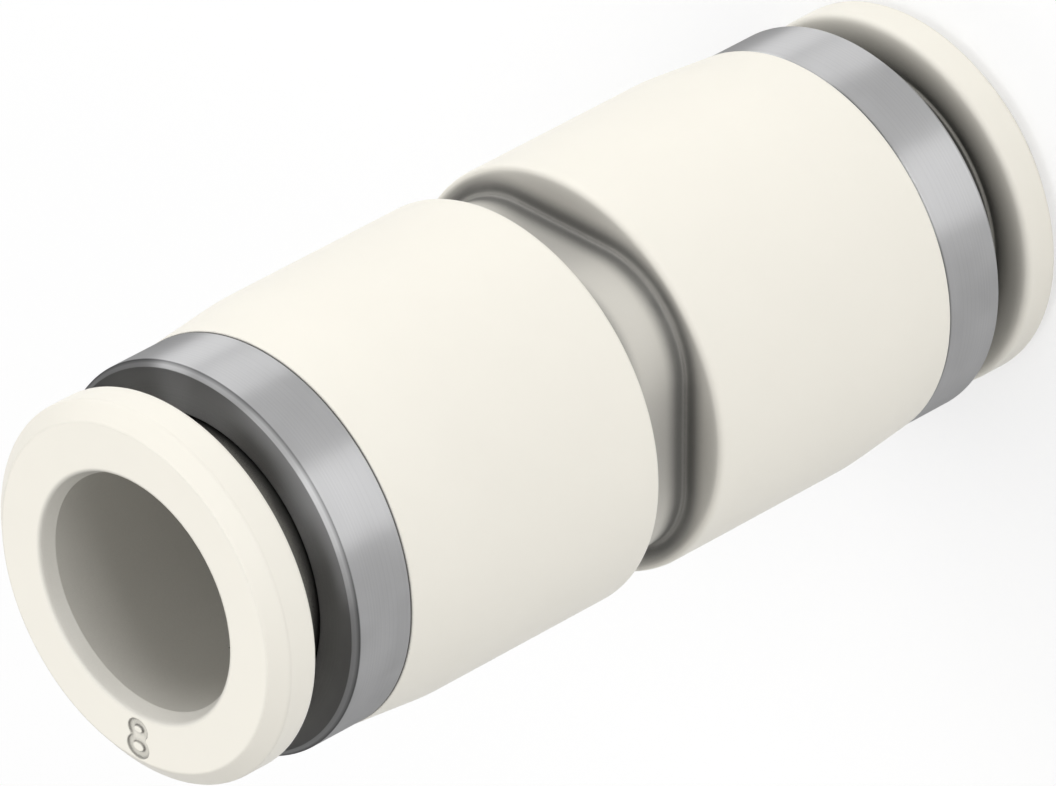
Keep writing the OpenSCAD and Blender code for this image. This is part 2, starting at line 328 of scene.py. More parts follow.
def turned(outline, angles):
    """Grid of a turned surface: x = r cos(angle), y = r sin(angle), z = u."""
    r, u = outline[:, 0, None], outline[:, 1, None]
    return np.stack([r * np.cos(angles), r * np.sin(angles), u + 0 * angles], axis=-1)


def grid_quads(rows, columns):
    """Corner numbers of the quads of a grid that is closed both ways.

    Quad (i, j) runs to column j + 1 first and to row i + 1 second, so its normal points
    outwards when the rows run round their outline with the material on the left.
    """
    i, j = np.meshgrid(np.arange(rows), np.arange(columns), indexing="ij")
    i2, j2 = (i + 1) % rows, (j + 1) % columns
    return np.stack([i * columns + j, i * columns + j2, i2 * columns + j2, i2 * columns + j], -1)


def at_end(points, end):
    """Moves points from the middle plane to an end; the rear one is turned half a turn on X."""
    side = 1.0 if end == "front" else -1.0
    return points * (1.0, side, side) + (0.0, 0.0, MIDDLE)


def new_piece(name, points, faces, finish):
    """Makes a mesh object at the origin from points and corner numbers, smooth where round."""
    mesh = bpy.data.meshes.new(name)
    mesh.from_pydata(points.reshape(-1, 3).tolist(), [], faces)
    mesh.shade_smooth()
    mesh.set_sharp_from_angle(angle=SHARP_ANGLE)
    mesh.materials.append(finish)
    piece = bpy.data.objects.new(name, mesh)
    bpy.context.scene.collection.objects.link(piece)
    if mesh.validate():
        raise RuntimeError(name + " has faces that are not valid")
    return piece


def turned_piece(name, outline, columns, end, finish):
    """Makes a closed turned piece from its outline; a turn has the given number of columns."""
    angles = np.arange(columns) * (2 * math.pi / columns)
    points = at_end(turned(outline, angles), end)
    faces = grid_quads(len(outline), columns).reshape(-1, 4).tolist()
    piece = new_piece(name, points, faces, finish)
    length = np.linalg.norm(np.roll(outline, -1, axis=0) - outline, axis=1)
    v = np.concatenate([[0], np.cumsum(length)])
    u = np.arange(columns + 1) * (2 * math.pi / columns * outline[:, 0].max())
    around = np.stack([u[:-1], u[1:], u[1:], u[:-1]], -1)[None]
    along = np.stack([v[:-1], v[:-1], v[1:], v[1:]], -1)[:, None]
    pair = np.stack(np.broadcast_arrays(around, along), -1)
    layer = piece.data.uv_layers.new(name="Turning")
    layer.uv.foreach_set("vector", pair.ravel())
    return piece


def dress(piece, body, node):
    """Lets a piece move with its body and stand for its node."""
    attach(piece, body)
    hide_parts(node)


# Shapes of the pieces

def waist_contour(angles, half, corner):
    """Rounded square of the waist, as points and outward normals at polar angles.

    In the first octant, with d = half - corner, the flat is x = half while y <= d; beyond
    that the point at distance p lies on the corner arc: |p (cos, sin) - (d, d)| = corner.
    """
    cos, sin = np.cos(angles), np.sin(angles)
    big = np.maximum(abs(cos), abs(sin))
    small = np.minimum(abs(cos), abs(sin))
    d = half - corner
    on_flat = half * small / big <= d
    reach = d * (big + small)
    p = np.where(on_flat, half / big, reach + np.sqrt(np.maximum(reach**2 - 2 * d**2 + corner**2, 0)))
    normal_big = np.where(on_flat, 1.0, (p * big - d) / corner)
    normal_small = np.where(on_flat, 0.0, (p * small - d) / corner)
    wide = abs(cos) >= abs(sin)
    normal_x = np.sign(cos) * np.where(wide, normal_big, normal_small)
    normal_y = np.sign(sin) * np.where(wide, normal_small, normal_big)
    return np.stack([p * cos, p * sin], -1), np.stack([normal_x, normal_y], -1)


def body_outline(size):
    """Closed outline of the body: groove, outside, taper, end face and the stepped hollow."""
    upper = [
        (size.waist_half, size.groove_u, size.waist_fillet),
        (size.radius, size.groove_u, size.groove_edge),
        (size.radius, size.taper_u, size.taper_arc),
        (size.radius - size.taper_drop, size.end_u, size.end_edge),
        (size.seat_r, size.end_u, 0.05 * MM),
        (size.seat_r, size.seal_u, 0.04 * MM),
        (size.seal_r, size.seal_u, 0.04 * MM),
        (size.seal_r, size.socket_u, 0.1 * MM),
        (size.socket_r + size.lead_in, size.socket_u, 0.05 * MM),
        (size.socket_r, size.socket_u - size.lead_in, 0.1 * MM),
        (size.socket_r, size.stop_u, 0.08 * MM),
        (size.flow_r, size.stop_u, 0.08 * MM),
    ]
    lower = np.array(upper[::-1]) * (1, -1, 1)
    return rounded(np.concatenate([upper, lower]))


def body_grid(size, columns):
    """Grid of the body.

    Every row is a circle of radius r, except in the groove. There a row at the distance
    t = r - waist_half from the flats is the waist's contour moved out by t along its normals,
    up to the fillet's end. Across the wall it goes over evenly to the circle at the edge.
    """
    outline = body_outline(size)
    angles = np.arange(columns) * (2 * math.pi / columns)
    points = turned(outline, angles)
    contour, normal = waist_contour(angles, size.waist_half, size.waist_corner)
    edge_r = size.radius - size.groove_edge
    inside = (abs(outline[:, 1]) < size.groove_u + NEAR) & (outline[:, 0] > size.waist_half - NEAR)
    inside &= outline[:, 0] < edge_r + NEAR
    t = (outline[inside, 0] - size.waist_half)[:, None, None]
    wall = edge_r - size.waist_half - size.waist_fillet
    share = np.clip((t - size.waist_fillet) / wall, 0, 1)
    edge = edge_r * np.stack([np.cos(angles), np.sin(angles)], -1)
    from_waist = contour + np.minimum(t, size.waist_fillet) * normal
    points[inside, :, :2] = (1 - share) * from_waist + share * edge
    return points


def cap_outline(size, body):
    """Closed outline of a cap: skirt, band with its chamfer, face, lip and chamber."""
    lip_u = size.end_u - size.lip_t
    return rounded([
        (size.chamber_r, size.skirt_u, 0.04 * MM),
        (body.seat_r, size.skirt_u, 0.08 * MM),
        (body.seat_r, body.end_u, 0.02 * MM),
        (size.band_r, body.end_u, 0.08 * MM),
        (size.band_r, size.end_u - size.chamfer, 0.05 * MM),
        (size.band_r - size.chamfer, size.end_u, 0.05 * MM),
        (size.hole_r, size.end_u, 0.06 * MM),
        (size.hole_r, lip_u, 0.05 * MM),
        (size.chamber_r, lip_u, 0.04 * MM),
    ])


def ring_outline(size):
    """Closed outline of a release ring, from the tip of its nose up the outside."""
    rib_start = size.rib_u - size.rib_len
    flange_u = size.face_u - size.flange_t
    return rounded([
        (size.bore_r, size.nose_u, size.edge),
        (size.bore_r + size.nose_t, size.nose_u, size.edge),
        (size.sleeve_r, size.nose_u + size.nose_len, 0.2 * MM),
        (size.sleeve_r, rib_start - size.rib_cone, 0.1 * MM),
        (size.rib_r, rib_start, 0.1 * MM),
        (size.rib_r, size.rib_u, size.edge),
        (size.sleeve_r, size.rib_u, size.edge),
        (size.sleeve_r, flange_u, 0.1 * MM),
        (size.flange_r, flange_u, size.back_edge),
        (size.flange_r, size.face_u - size.cone_h, size.cone_edge),
        (size.flange_r - size.cone_w, size.face_u, size.cone_edge),
        (size.bore_r + size.mouth_w, size.face_u, size.mouth_edge),
        (size.bore_r, size.face_u - size.mouth_h, size.edge),
    ])


def ring_columns(size, number):
    """Angles of a release ring's columns in degrees, close together across the number.

    Every slot has a column on each of its edges. The first slot is centred on -90 degrees,
    under the number. The half angle of a slot and the angle between slots are given too.
    """
    fine_step, coarse_step, margin = 0.13, 1.0, 1.2
    edge = math.degrees(math.asin(size.slot_w / 2 / ((size.bore_r + size.rib_r) / 2)))
    pitch = 360 / size.slots
    low = min(number.upper_at[1], number.lower_at[1])
    reach = math.degrees(max(number.upper_half[0], number.lower_half[0]) + number.stroke) / abs(low)
    centre = -90 + math.degrees(number.lower_at[0] / abs(low))
    reach *= margin
    zone = (centre - reach, centre + reach)
    slot_edges = np.add.outer(np.arange(size.slots) * pitch - 90, (-edge, edge)).ravel()
    knots = np.unique(np.concatenate([slot_edges, zone, [zone[0] + 360]]) % 360)
    knots = np.concatenate([knots, [knots[0] + 360]])
    angles = []
    for start, stop in zip(knots[:-1], knots[1:]):
        offset = ((start + stop) / 2 - centre + 180) % 360 - 180
        step = fine_step if abs(offset) < reach else coarse_step
        count = max(2, math.ceil((stop - start) / step))
        angles.append(np.linspace(start, stop, count, endpoint=False))
    return np.concatenate(angles), edge, pitch


def eight_depth(x, y, number):
    """Depth of the engraved 8 at points of the face.

    The distance to a loop's line is k0 (k0 - 1) / k1, where k0 = |(x / a, y / b)| and
    k1 = |(x / a^2, y / b^2)| for the loop's half axes a and b. Of the two loops' distances d
    and e the smaller one counts, less w h (1 - h) with h = (1 + (d - e) / w) / 2 from 0 to 1,
    which fills the notches between the loops over the width w. The depth goes over smoothly
    from full to none where this distance passes half the stroke.
    """
    both = []
    least = 1e-6
    for at, half in ((number.upper_at, number.upper_half), (number.lower_at, number.lower_half)):
        px, py = x - at[0], y - at[1]
        k0 = np.maximum(np.hypot(px / half[0], py / half[1]), least)
        k1 = np.maximum(np.hypot(px / half[0]**2, py / half[1]**2), least)
        both.append(abs(k0 * (k0 - 1) / k1))
    h = np.clip((1 + (both[0] - both[1]) / number.notch) / 2, 0, 1)
    far = both[0] * (1 - h) + both[1] * h - number.notch * h * (1 - h)
    t = np.clip((far - number.stroke / 2 + number.soft / 2) / number.soft, 0, 1)
    return number.depth * (1 - t * t * (3 - 2 * t))


def ring_grid(size, number):
    """Grid of a release ring, the faces that close it, and no faces where its slots are.

    A row of the outline at radius r is turned about the axis. In the slotted rows the columns
    fan out, so that those on a slot's edges stay at half the slot's width from its centre
    plane: their angle from it is asin(slot_w / 2 / r). This ends at the calm angle from the
    slot's centre. On the face the surface goes down by the depth of the number.
    """
    face_rows, calm = 90, 15.0
    outline = cross_level(ring_outline(size), size.slot_u)
    flat = np.flatnonzero(abs(outline[:, 1] - size.face_u) < NEAR)
    fill = np.linspace(outline[flat[0], 0], outline[flat[-1], 0], face_rows)
    fill = np.stack([fill, np.full(len(fill), size.face_u)], 1)
    outline = np.concatenate([outline[:flat[0]], fill, outline[flat[-1] + 1:]])
    cuts = np.flatnonzero(abs(outline[:, 1] - size.slot_u) < NEAR)
    outline = np.roll(outline, -cuts[1], axis=0)
    fingers = (cuts[0] - cuts[1]) % len(outline) + 1

    degrees, edge, pitch = ring_columns(size, number)
    offset = (degrees + 90 + pitch / 2) % pitch - pitch / 2
    r = outline[:fingers, 0, None]
    narrow = np.degrees(np.arcsin(size.slot_w / 2 / r))
    beyond = narrow + (abs(offset) - edge) * (calm - narrow) / (calm - edge)
    fanned = np.where(abs(offset) <= edge + NEAR, abs(offset) * narrow / edge,
                      np.where(abs(offset) < calm, beyond, abs(offset)))
    angles = np.broadcast_to(np.radians(degrees), (len(outline), len(degrees))).copy()
    angles[:fingers] += np.radians(np.sign(offset) * fanned - offset)
    points = turned(outline, angles)

    face = abs(outline[:, 1] - size.face_u) < NEAR
    points[face, :, 2] -= eight_depth(points[face, :, 0], points[face, :, 1], number)

    rows, columns = len(outline), len(degrees)
    quads = grid_quads(rows, columns)
    after = np.roll(degrees, -1)
    between = degrees + ((after - degrees) % 360) / 2
    in_slot = abs((between + 90 + pitch / 2) % pitch - pitch / 2) < edge
    keep = np.ones((rows, columns), bool)
    keep[:fingers - 1, in_slot] = False
    faces = quads[keep].tolist()

    j = np.flatnonzero(in_slot)
    j2 = (j + 1) % columns
    last = (fingers - 1) * columns
    faces += np.stack([j, j2, last + j2, last + j], -1).tolist()
    down = np.arange(fingers) * columns
    opens = j[~np.isin((j - 1) % columns, j)]
    closes = j2[~np.isin(j2, j)]
    faces += (down[None, :] + opens[:, None]).tolist()
    faces += (down[None, ::-1] + closes[:, None]).tolist()
    return points, faces


def claw_grid(size, across=10):
    """Grid of a claw ring and its faces.

    The lower side is the rim's plane down to the bend and then a cone, and so is the upper
    side. A point across a tongue has the angle v (pitch / 2 - asin(g / r)), with v from -1
    to 1, where g is half the gap between tongues: half the slot's width, the chord of the
    relief hole where that is wider, and nothing beyond the hole. Points that agree to the
    given digits, in metres, are one.
    """
    hole_rows, plain_rows, digits = 15, 6, 7
    slope = size.drop / (size.lower_bend_r - size.tip_r)
    end = size.relief_at + size.relief_r
    hole = size.relief_at + size.relief_r * np.cos(np.linspace(0, math.pi, hole_rows))
    rim = np.linspace(size.outer_r, end, plain_rows)[:-1]
    tongue = np.linspace(hole[-1], size.tip_r, plain_rows)[1:]
    low_r = np.concatenate([rim, [size.lower_bend_r, size.upper_bend_r], hole, tongue])
    low_r = np.unique(np.round(low_r, digits))[::-1]
    top_r = np.maximum(low_r, size.tip_r + size.steel_t / 2)
    low_u = size.rim_u - slope * np.maximum(size.lower_bend_r - low_r, 0)
    top_u = size.rim_u + size.steel_t - slope * np.maximum(size.upper_bend_r - top_r, 0)
    r = np.concatenate([top_r, low_r[::-1]])
    u = np.concatenate([top_u, low_u[::-1]])

    chord = np.sqrt(np.maximum(size.relief_r**2 - (r - size.relief_at)**2, 0))
    half_gap = np.where(r < size.relief_at, np.maximum(size.slot_w / 2, chord), chord)
    half_gap = np.where(r > end - 2 * 10**-digits, 0, half_gap)
    pitch = 2 * math.pi / size.tongues
    v = np.linspace(-1, 1, across + 1)
    across_tongue = v * (pitch / 2 - np.arcsin(half_gap / r))[:, None]
    middle = (np.arange(size.tongues) + 0.5) * pitch
    angles = middle[:, None, None] + across_tongue
    points = np.stack([r[:, None] * np.cos(angles), r[:, None] * np.sin(angles),
                       u[:, None] + 0 * angles], -1)

    rows, columns = len(r), across + 1
    i, j = np.meshgrid(np.arange(rows), np.arange(across), indexing="ij")
    i2 = (i + 1) % rows
    quads = np.stack([i * columns + j, i2 * columns + j, i2 * columns + j + 1, i * columns + j + 1], -1)
    levels = len(low_r)
    top = np.arange(levels - 1)
    top = top[(half_gap[top] > 0) | (half_gap[top + 1] > 0)]
    bottom = rows - 1 - top
    left = np.stack([top, bottom, bottom - 1, top + 1], -1) * columns
    right = left[:, ::-1] + across
    sector = np.concatenate([quads.reshape(-1, 4), left, right])
    faces = (sector[None] + (np.arange(size.tongues) * rows * columns)[:, None, None]).reshape(-1, 4)
    flat = points.reshape(-1, 3)
    _, first, same = np.unique(np.round(flat, digits), axis=0,
                               return_index=True, return_inverse=True)
    return flat[first], same.reshape(-1)[faces]


def support_outline(size, body, claw):
    """Closed outline of a support ring: floor at the seal, wall in the seat, rim at the claw."""
    floor_u = body.seal_u + size.floor_t
    inner = body.seat_r - size.rim_w
    lean, foot = 0.1 * MM, 0.35 * MM
    return rounded([
        (size.guide_r, body.seal_u, 0.06 * MM),
        (body.seat_r, body.seal_u, 0.05 * MM),
        (body.seat_r, claw.rim_u, 0.05 * MM),
        (inner, claw.rim_u, 0.08 * MM),
        (inner - lean, floor_u + size.floor_t, 0.2 * MM),
        (size.guide_r + foot, floor_u, 0.1 * MM),
        (size.guide_r, floor_u, 0.08 * MM),
    ])


def seal_outline(size, body):
    """Closed outline of a seal: solid outer band and a lip that leans towards the tube stop."""
    low = body.socket_u + size.seal_play
    high = body.seal_u - size.seal_play
    mid = (low + high) / 2
    lean, lip_drop, lip_t = 0.1 * MM, 0.5 * MM, 0.3 * MM
    band_w, throat_w, throat_t = 0.35 * MM, 0.5 * MM, 0.2 * MM
    return rounded([
        (body.seal_r, low, 0.08 * MM),
        (body.seal_r, high, 0.1 * MM),
        (body.socket_r + 2 * lean, high, 0.1 * MM),
        (body.socket_r + lean, mid + 0.4 * MM, 0.3 * MM),
        (size.lip_r, mid - lip_drop, 0.1 * MM),
        (size.lip_r + lean, mid - lip_drop - lip_t, 0.06 * MM),
        (body.socket_r + throat_w, mid - throat_t, 0.15 * MM),
        (body.seal_r - band_w, mid - throat_t - lean, 0.15 * MM),
        (body.seal_r - 2 * lean, low, 0.06 * MM),
    ])


# Finishes

# the part of a noise's range that most of its values fall in
NOISE_MIDDLE = (0.3, 0.7)
# sockets of the Mix node, which has one set for each kind of value under the same names
MIX_SHARE, COLOUR_A, COLOUR_B, MIXED_COLOUR = 0, 6, 7, 2
# what is seen of the floor: its own glow, and its share of the light that falls on it
FLOOR_GLOW, FLOOR_SHADE = 0.59, 0.42


def feed(tree, node, inputs):
    """Feeds a node; an input is either a value or the socket that it comes from."""
    for key, value in inputs.items():
        if isinstance(value, bpy.types.NodeSocket):
            tree.links.new(value, node.inputs[key])
        else:
            node.inputs[key].default_value = value


def add_node(tree, kind, inputs, **settings):
    """Adds a shader node of a kind, such as Mix, with its settings and inputs."""
    made = tree.nodes.new("ShaderNode" + kind)
    for key, value in settings.items():
        setattr(made, key, value)
    feed(tree, made, inputs)
    return made


def new_material(name):
    """Makes a material without nodes; returns it and its node tree."""
    material = bpy.data.materials.new(name)
    material.use_nodes = True
    material.node_tree.nodes.clear()
    return material, material.node_tree


def new_finish(name):
    """Makes a material with a Principled shader; returns it, its tree, shader and coordinates."""
    finish, tree = new_material(name)
    shader = add_node(tree, "BsdfPrincipled", {})
    add_node(tree, "OutputMaterial", {"Surface": shader.outputs["BSDF"]})
    place = add_node(tree, "TexCoord", {}).outputs["Object"]
    return finish, tree, shader, place


def noise(tree, place, scale, detail, roughness=0.5, dimensions='3D'):
    """Noise of the given scale, in features per metre."""
    return add_node(tree, "TexNoise",
                    {"Vector": place, "Scale": scale, "Detail": detail, "Roughness": roughness},
                    noise_dimensions=dimensions).outputs["Fac"]


def ramp(tree, value, start, stop, low=0.0, high=1.0):
    """Goes evenly from low to high while the value goes from start to stop."""
    return add_node(tree, "MapRange",
                    {"Value": value, "From Min": start, "From Max": stop,
                     "To Min": low, "To Max": high}).outputs["Result"]


def sum_of(tree, operation, one, other=0.0):
    """Result of a sum with one or two values."""
    return add_node(tree, "Math", {0: one, 1: other}, operation=operation).outputs["Value"]


def spread(tree, value, low, high):
    """Maps the middle of a noise to the range from low to high."""
    return ramp(tree, value, *NOISE_MIDDLE, low, high)


def shades(tree, value, colour, darker):
    """Goes from a slightly darker colour to the colour as the noise goes from low to high."""
    blend = add_node(tree, "ValToRGB", {"Fac": value})
    for stop, at, factor in zip(blend.color_ramp.elements, NOISE_MIDDLE, (darker, 1.0)):
        stop.position = at
        stop.color = (*(c * factor for c in colour), 1.0)
    return blend.outputs["Color"]


def relief(tree, height, depth):
    """Normals of a surface that rises by the depth while the height goes from 0 to 1."""
    return add_node(tree, "Bump",
                    {"Height": height, "Strength": 1.0, "Distance": depth}).outputs["Normal"]


def mixed(tree, surface, colour, share):
    """The surface's colour, with a share of another one."""
    return add_node(tree, "Mix",
                    {MIX_SHARE: share, COLOUR_A: surface, COLOUR_B: (*colour, 1.0)},
                    data_type='RGBA').outputs[MIXED_COLOUR]


def painted_depth_shade(tree, surface, deep, reach, low, high):
    """Painted shade: goes from the surface's colour to a deeper one where the shape closes in on itself.

    Occlusion is the part of the half sphere over a point that is open within the reach. The
    colour is the deep one up to the low value, and the surface's own from the high value on.
    """
    open_part = add_node(tree, "AmbientOcclusion", {"Distance": reach},
                         samples=8).outputs["AO"]
    return mixed(tree, surface, deep, ramp(tree, open_part, high, low))


def distance_from_axis(tree, place):
    """Distance of a point from the fitting's axis."""
    flat = add_node(tree, "VectorMath", {0: place, 1: (1.0, 1.0, 0.0)},
                    operation='MULTIPLY').outputs["Vector"]
    return add_node(tree, "VectorMath", {0: flat}, operation='LENGTH').outputs["Value"]


def distance_from_middle(tree, place):
    """Distance of a point from the plane across the fitting's middle."""
    z = add_node(tree, "SeparateXYZ", {"Vector": place}).outputs["Z"]
    return sum_of(tree, 'ABSOLUTE', sum_of(tree, 'SUBTRACT', z, MIDDLE))


def plastic_with_painted_depth_shade(tree, place, surface, colours):
    """Plastic deep in a groove or a bore is painted darker, as painted shade."""
    return painted_depth_shade(tree, surface, colours.recess_shade, reach=9 * MM, low=0.1, high=1.0)


def body_painted_shade(tree, place, surface, colours):
    """Body: painted shade in its depths, and more painted shade on the groove's walls and floor.

    The walls are painted darker than their rounded edges. The floor's painted shade is darkest on the
    waist's flats.
    """
    size = bpy.context.scene.fitting_body
    wall_share, round_share, flat_share = 0.15, 0.26, 0.68
    wall_start, wall_end = size.groove_u + 0.02 * MM, size.groove_u + 0.005 * MM
    r, u = distance_from_axis(tree, place), distance_from_middle(tree, place)
    round_r = size.waist_corner + math.sqrt(2) * (size.waist_half - size.waist_corner)
    floor = sum_of(tree, 'MULTIPLY',
                   ramp(tree, u, size.groove_u, size.groove_u - size.waist_fillet),
                   ramp(tree, r, round_r, size.waist_half, round_share, flat_share))
    wall = ramp(tree, u, wall_start, wall_end, 0.0, wall_share)
    deep = plastic_with_painted_depth_shade(tree, place, surface, colours)
    return mixed(tree, deep, colours.recess_shade, sum_of(tree, 'MAXIMUM', floor, wall))


def ring_painted_shade(tree, place, surface, colours):
    """Release ring: painted shade in its bore with the lead-in, and a little painted shade on its cone.
    """
    size = bpy.context.scene.fitting_ring
    r, u = distance_from_axis(tree, place), distance_from_middle(tree, place)
    mouth_r, cone_r = size.bore_r + size.mouth_w, size.flange_r - size.cone_w
    cone_u = size.face_u - size.cone_h
    soft = size.tone_edge
    # painted shade in the bore and lead-in, and on the cone round the face
    bore = ramp(tree, r, mouth_r + 1.5 * soft, mouth_r)
    cone = sum_of(tree, 'MULTIPLY', ramp(tree, r, cone_r - soft, cone_r),
                  ramp(tree, u, cone_u - soft, cone_u))
    return mixed(tree, mixed(tree, surface, colours.bore, bore), colours.cone, cone)


def moulded_plastic(name, colours, colour, tone, corner, reach, closed, gloss, grain):
    """Moulded plastic: faint clouding, a satin skin, the mould's fine texture, and painted shade in its
    corners.

    The corner colour, painted shade, is reached where the part that is open within the reach
    falls to the closed value. The roughness keeps near the gloss value.
    """
    finish, tree, shader, place = new_finish(name)
    cloud = noise(tree, place, scale=420.0, detail=3.0)
    skin = noise(tree, place, scale=2600.0, detail=2.0)
    fine = noise(tree, place, scale=14000.0, detail=2.0)
    cloud_with_painted_shade = tone(tree, place, shades(tree, cloud, colour, darker=0.99), colours)
    feed(tree, shader, {
        "Base Color": painted_depth_shade(tree, cloud_with_painted_shade, corner, reach, low=closed, high=0.97),
        "Roughness": spread(tree, skin, gloss - 0.05, gloss + 0.05),
        "Normal": relief(tree, fine, grain),
        "IOR": 1.45,
    })
    return finish


def painted_chamfer_and_face_shade(tree, r, u):
    """Share of the painted shade on a cap's face and the painted reflection on its chamfer: a dark band,
    lighter towards its inner edge as a painted highlight.

    On the chamfer and on the face it rises outwards, and it is 0 on the band.
    """
    size = bpy.context.scene.fitting_cap
    start_u, start_r = size.end_u - size.chamfer, size.band_r - size.chamfer
    soft = size.tone_edge
    beyond = ramp(tree, u, start_u - soft, start_u + soft)
    chamfer = ramp(tree, r, start_r + 0.5 * size.chamfer, start_r + 0.85 * size.chamfer, 0.15, 0.66)
    face = sum_of(tree, 'MULTIPLY', ramp(tree, r, start_r, start_r - soft),
                  ramp(tree, r, size.hole_r, start_r, 0.25, 0.58))
    return sum_of(tree, 'MULTIPLY', beyond, sum_of(tree, 'MAXIMUM', chamfer, face))


def turned_nickel(name, colour, shaded):
    """Plated metal turned on a lathe: fine rings round the axis that spread the light along it.

    The rings are a noise of the distance from the axis and of the height alone. Shade is painted where
    the flange closes over the cap, and on the chamfer and face.
    """
    finish, tree, shader, place = new_finish(name)
    r, u = distance_from_axis(tree, place), distance_from_middle(tree, place)
    section = add_node(tree, "CombineXYZ", {"X": r, "Y": u}).outputs["Vector"]
    rings = noise(tree, section, scale=16000.0, detail=3.0, roughness=0.6, dimensions='2D')
    cloud = noise(tree, place, scale=700.0, detail=3.0)
    tangent = add_node(tree, "Tangent", {}, direction_type='UV_MAP', uv_map="Turning")
    # painted shade where the flange closes over the cap; painted shade and reflection on the chamfer and
    # face
    whole = painted_depth_shade(tree, shades(tree, rings, colour, darker=0.93), shaded,
                      reach=3 * MM, low=0.0, high=0.25)
    feed(tree, shader, {
        "Base Color": mixed(tree, whole, shaded, painted_chamfer_and_face_shade(tree, r, u)),
        "Roughness": spread(tree, cloud, low=0.40, high=0.45),
        "Normal": relief(tree, rings, depth=0.0004 * MM),
        "Tangent": tangent.outputs["Tangent"],
        "Metallic": 1.0,
        "Specular Tint": (0.5, 0.5, 0.5, 1.0),
        "Anisotropic": 1.0,
        "Anisotropic Rotation": 0.25,
    })
    return finish


def spring_steel(name, colour):
    """Rolled spring steel: straight fine lines across the sheet and a soft shine."""
    finish, tree, shader, place = new_finish(name)
    lines = add_node(tree, "VectorMath", {0: place, 1: (900.0, 26000.0, 900.0)},
                     operation='MULTIPLY').outputs["Vector"]
    rolled = noise(tree, lines, scale=1.0, detail=2.0)
    cloud = noise(tree, place, scale=1500.0, detail=2.0)
    feed(tree, shader, {
        "Base Color": shades(tree, rolled, colour, darker=0.88),
        "Roughness": spread(tree, cloud, low=0.26, high=0.36),
        "Normal": relief(tree, rolled, depth=0.0008 * MM),
        "Metallic": 1.0,
    })
    return finish


def seal_rubber(name, colour):
    """Moulded rubber: black, dull and slightly mottled."""
    finish, tree, shader, place = new_finish(name)
    cloud = noise(tree, place, scale=1800.0, detail=3.0)
    fine = noise(tree, place, scale=11000.0, detail=2.0)
    feed(tree, shader, {
        "Base Color": shades(tree, cloud, colour, darker=0.7),
        "Roughness": spread(tree, cloud, low=0.5, high=0.65),
        "Normal": relief(tree, fine, depth=0.003 * MM),
    })
    return finish


def studio_floor(name, colour):
    """Pale floor: diffuse for the light it sends on, and part self-lit where it is seen.

    Camera, glossy and transmission rays see its glow and a share of the light that falls on
    it, so it shows white and keeps the fitting's shadow.
    """
    finish, tree = new_material(name)
    path = add_node(tree, "LightPath", {}).outputs
    seen = sum_of(tree, 'MAXIMUM', path["Is Camera Ray"], path["Is Glossy Ray"])
    seen = sum_of(tree, 'MAXIMUM', seen, path["Is Transmission Ray"])
    place = add_node(tree, "TexCoord", {}).outputs["Object"]
    paper = shades(tree, noise(tree, place, scale=60.0, detail=2.0), colour, darker=0.99)
    sends = add_node(tree, "BsdfDiffuse", {"Color": paper}).outputs["BSDF"]
    dim = add_node(tree, "BsdfDiffuse", {"Color": (*[FLOOR_SHADE] * 3, 1.0)}).outputs["BSDF"]
    glow = add_node(tree, "Emission",
                    {"Color": (1.0, 1.0, 1.0, 1.0), "Strength": FLOOR_GLOW}).outputs["Emission"]
    shown = add_node(tree, "AddShader", {0: dim, 1: glow}).outputs["Shader"]
    both = add_node(tree, "MixShader", {0: seen, 1: sends, 2: shown}).outputs["Shader"]
    add_node(tree, "OutputMaterial", {"Surface": both})
    return finish


def finish_for(kind):
    """The material of a kind, made once from the scene's colours."""
    name, maker = {
        "body": ("Cream_moulded_body",
                 lambda n, c: moulded_plastic(n, c, c.cream, body_painted_shade, c.corner, reach=0.9 * MM,
                                              closed=0.75, gloss=0.5, grain=0.0008 * MM)),
        # the release rings' corner colour is the painted shade of their gap
        "ring": ("Cream_moulded_ring",
                 lambda n, c: moulded_plastic(n, c, c.cream, ring_painted_shade, c.gap, reach=1.3 * MM,
                                              closed=0.6, gloss=0.47, grain=0.0006 * MM)),
        "cap": ("Turned_nickel_plating", lambda n, c: turned_nickel(n, c.nickel, c.shaded)),
        "claw": ("Rolled_spring_steel", lambda n, c: spring_steel(n, c.steel)),
        # support rings: painted shade in their depths and in their corners
        "support": ("Grey_support_plastic",
                    lambda n, c: moulded_plastic(n, c, c.support, plastic_with_painted_depth_shade, c.corner,
                                                 reach=0.9 * MM, closed=0.6, gloss=0.45,
                                                 grain=0.001 * MM)),
        "seal": ("Black_seal_rubber", lambda n, c: seal_rubber(n, c.rubber)),
        "floor": ("Pale_studio_floor", lambda n, c: studio_floor(n, c.floor)),
    }[kind]
    colours = bpy.context.scene.fitting_finishes
    return bpy.data.materials.get(name) or maker(name, colours)


# Operators

def turned_pair(what, outline, columns, kind, node):
    """Makes a turned piece for each end and dresses its node of the fitting."""
    for end in ENDS:
        piece = turned_piece(end + what, outline, columns, end, finish_for(kind))
        dress(piece, BODY_FRAME, end + node)


class FITTING_OT_body(bpy.types.Operator):
    """Make the moulded body with its waist groove and stepped hollow"""
    bl_idname = "fitting.make_body"
    bl_label = "Make body"

    def execute(self, context):
        points = body_grid(context.scene.fitting_body, OUTER_COLUMNS)
        faces = grid_quads(points.shape[0], points.shape[1]).reshape(-1, 4).tolist()
        piece = new_piece("moulded_body", points + (0, 0, MIDDLE), faces, finish_for("body"))
        dress(piece, BODY_FRAME, "body")
        return {'FINISHED'}


class FITTING_OT_caps(bpy.types.Operator):
    """Make the two turned metal caps"""
    bl_idname = "fitting.make_caps"
    bl_label = "Make metal caps"

    def execute(self, context):
        outline = cap_outline(context.scene.fitting_cap, context.scene.fitting_body)
        turned_pair("_metal_cap", outline, OUTER_COLUMNS, "cap", "_cap")
        return {'FINISHED'}


